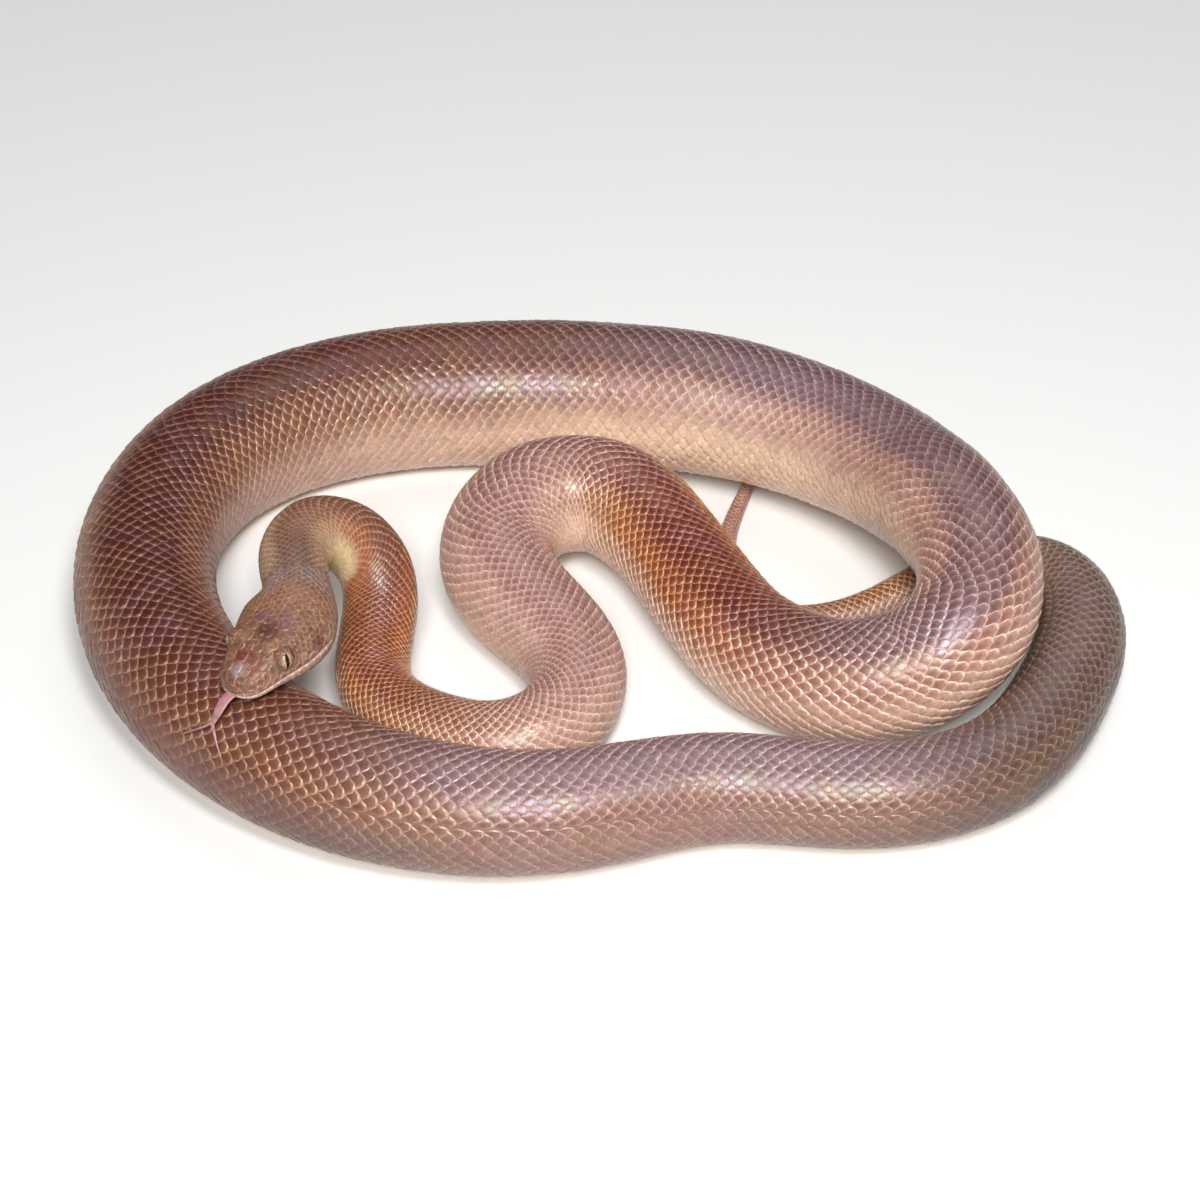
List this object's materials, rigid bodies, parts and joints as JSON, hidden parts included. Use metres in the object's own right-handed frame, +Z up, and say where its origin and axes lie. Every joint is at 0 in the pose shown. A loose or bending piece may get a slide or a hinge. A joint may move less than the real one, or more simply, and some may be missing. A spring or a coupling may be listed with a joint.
{
  "type": "coiled python snake",
  "caption": "Life-size still model of a coiled python with its head raised on its own coil and its forked tongue out.",
  "frame": {"origin": "on the floor, under the middle of the coil's bounding box", "axes": "+Z up, +X along the long way of the coil, -Y on the side that the snout points to"},
  "size_m": [0.428, 0.3116, 0.0772],
  "materials": {
    "scaled_skin": "smooth glossy overlapping scales, dark reddish brown above, pinkish beige on the flanks, cream below",
    "head_skin": "smooth head plates and fine scales, reddish brown with cream lips",
    "eye_surface": "wet gloss, pale gold iris with an upright slit pupil",
    "tongue_skin": "moist satin pink"
  },
  "bodies": {
    "root": {"head": "head_skin", "eye_left": "eye_surface", "eye_right": "eye_surface", "tongue": "tongue_skin", "neck_1": "scaled_skin", "neck_2": "scaled_skin", "neck_3": "scaled_skin", "neck_4": "scaled_skin", "forebody_1": "scaled_skin", "forebody_2": "scaled_skin", "forebody_3": "scaled_skin", "forebody_4": "scaled_skin", "forebody_5": "scaled_skin", "midbody_1": "scaled_skin", "midbody_2": "scaled_skin", "midbody_3": "scaled_skin", "midbody_4": "scaled_skin", "midbody_5": "scaled_skin", "midbody_6": "scaled_skin", "hindbody_1": "scaled_skin", "hindbody_2": "scaled_skin", "hindbody_3": "scaled_skin", "tail_1": "scaled_skin", "tail_2": "scaled_skin", "tail_3": "scaled_skin", "tail_4": "scaled_skin"}
  },
  "joints": []
}
